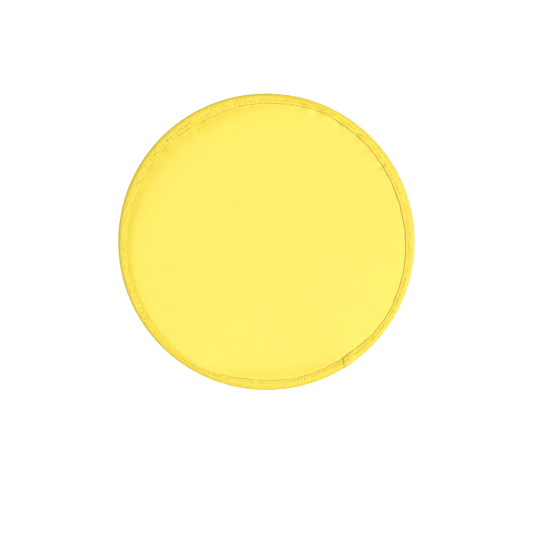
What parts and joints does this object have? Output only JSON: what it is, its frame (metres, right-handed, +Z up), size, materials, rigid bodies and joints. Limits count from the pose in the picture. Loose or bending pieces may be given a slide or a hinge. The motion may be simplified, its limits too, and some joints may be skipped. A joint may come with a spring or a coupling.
{
  "type": "folding flying disc",
  "caption": "Round fabric flying disc: a thin panel hemmed with tape over a sprung steel band. It folds in half, springs open flat, and is thrown for a catch.",
  "frame": {"origin": "on the ground under the disc's centre", "axes": "+Z up out of the disc's front face; the fold line is along Y; the right half, at +X, folds up and over the left"},
  "size_m": [0.25, 0.25, 0.003],
  "materials": {
    "panel_fabric": "plain woven, slight sheen",
    "tape_fabric": "ribbed woven tape, slight sheen",
    "thread": "twisted polyester",
    "spring_steel": "rolled",
    "ferrule": "crimped sheet"
  },
  "bodies": {
    "left_half": {"panel_left": "panel_fabric", "rim_tape_left": "tape_fabric", "spring_band_left": "spring_steel", "needle_thread_left": "thread", "bobbin_thread_left": "thread"},
    "right_half": {"panel_right": "panel_fabric", "rim_tape_right": "tape_fabric", "spring_band_right": "spring_steel", "needle_thread_right": "thread", "bobbin_thread_right": "thread", "band_ferrule": "ferrule"}
  },
  "joints": [
    {"name": "fold_in_half", "type": "hinge", "parent": "left_half", "child": "right_half", "pos_m": [0, 0, 0.003], "axis": [0, -1, 0], "range_deg": [0, 160], "stiffness_Nm_per_rad": 0.15}
  ]
}
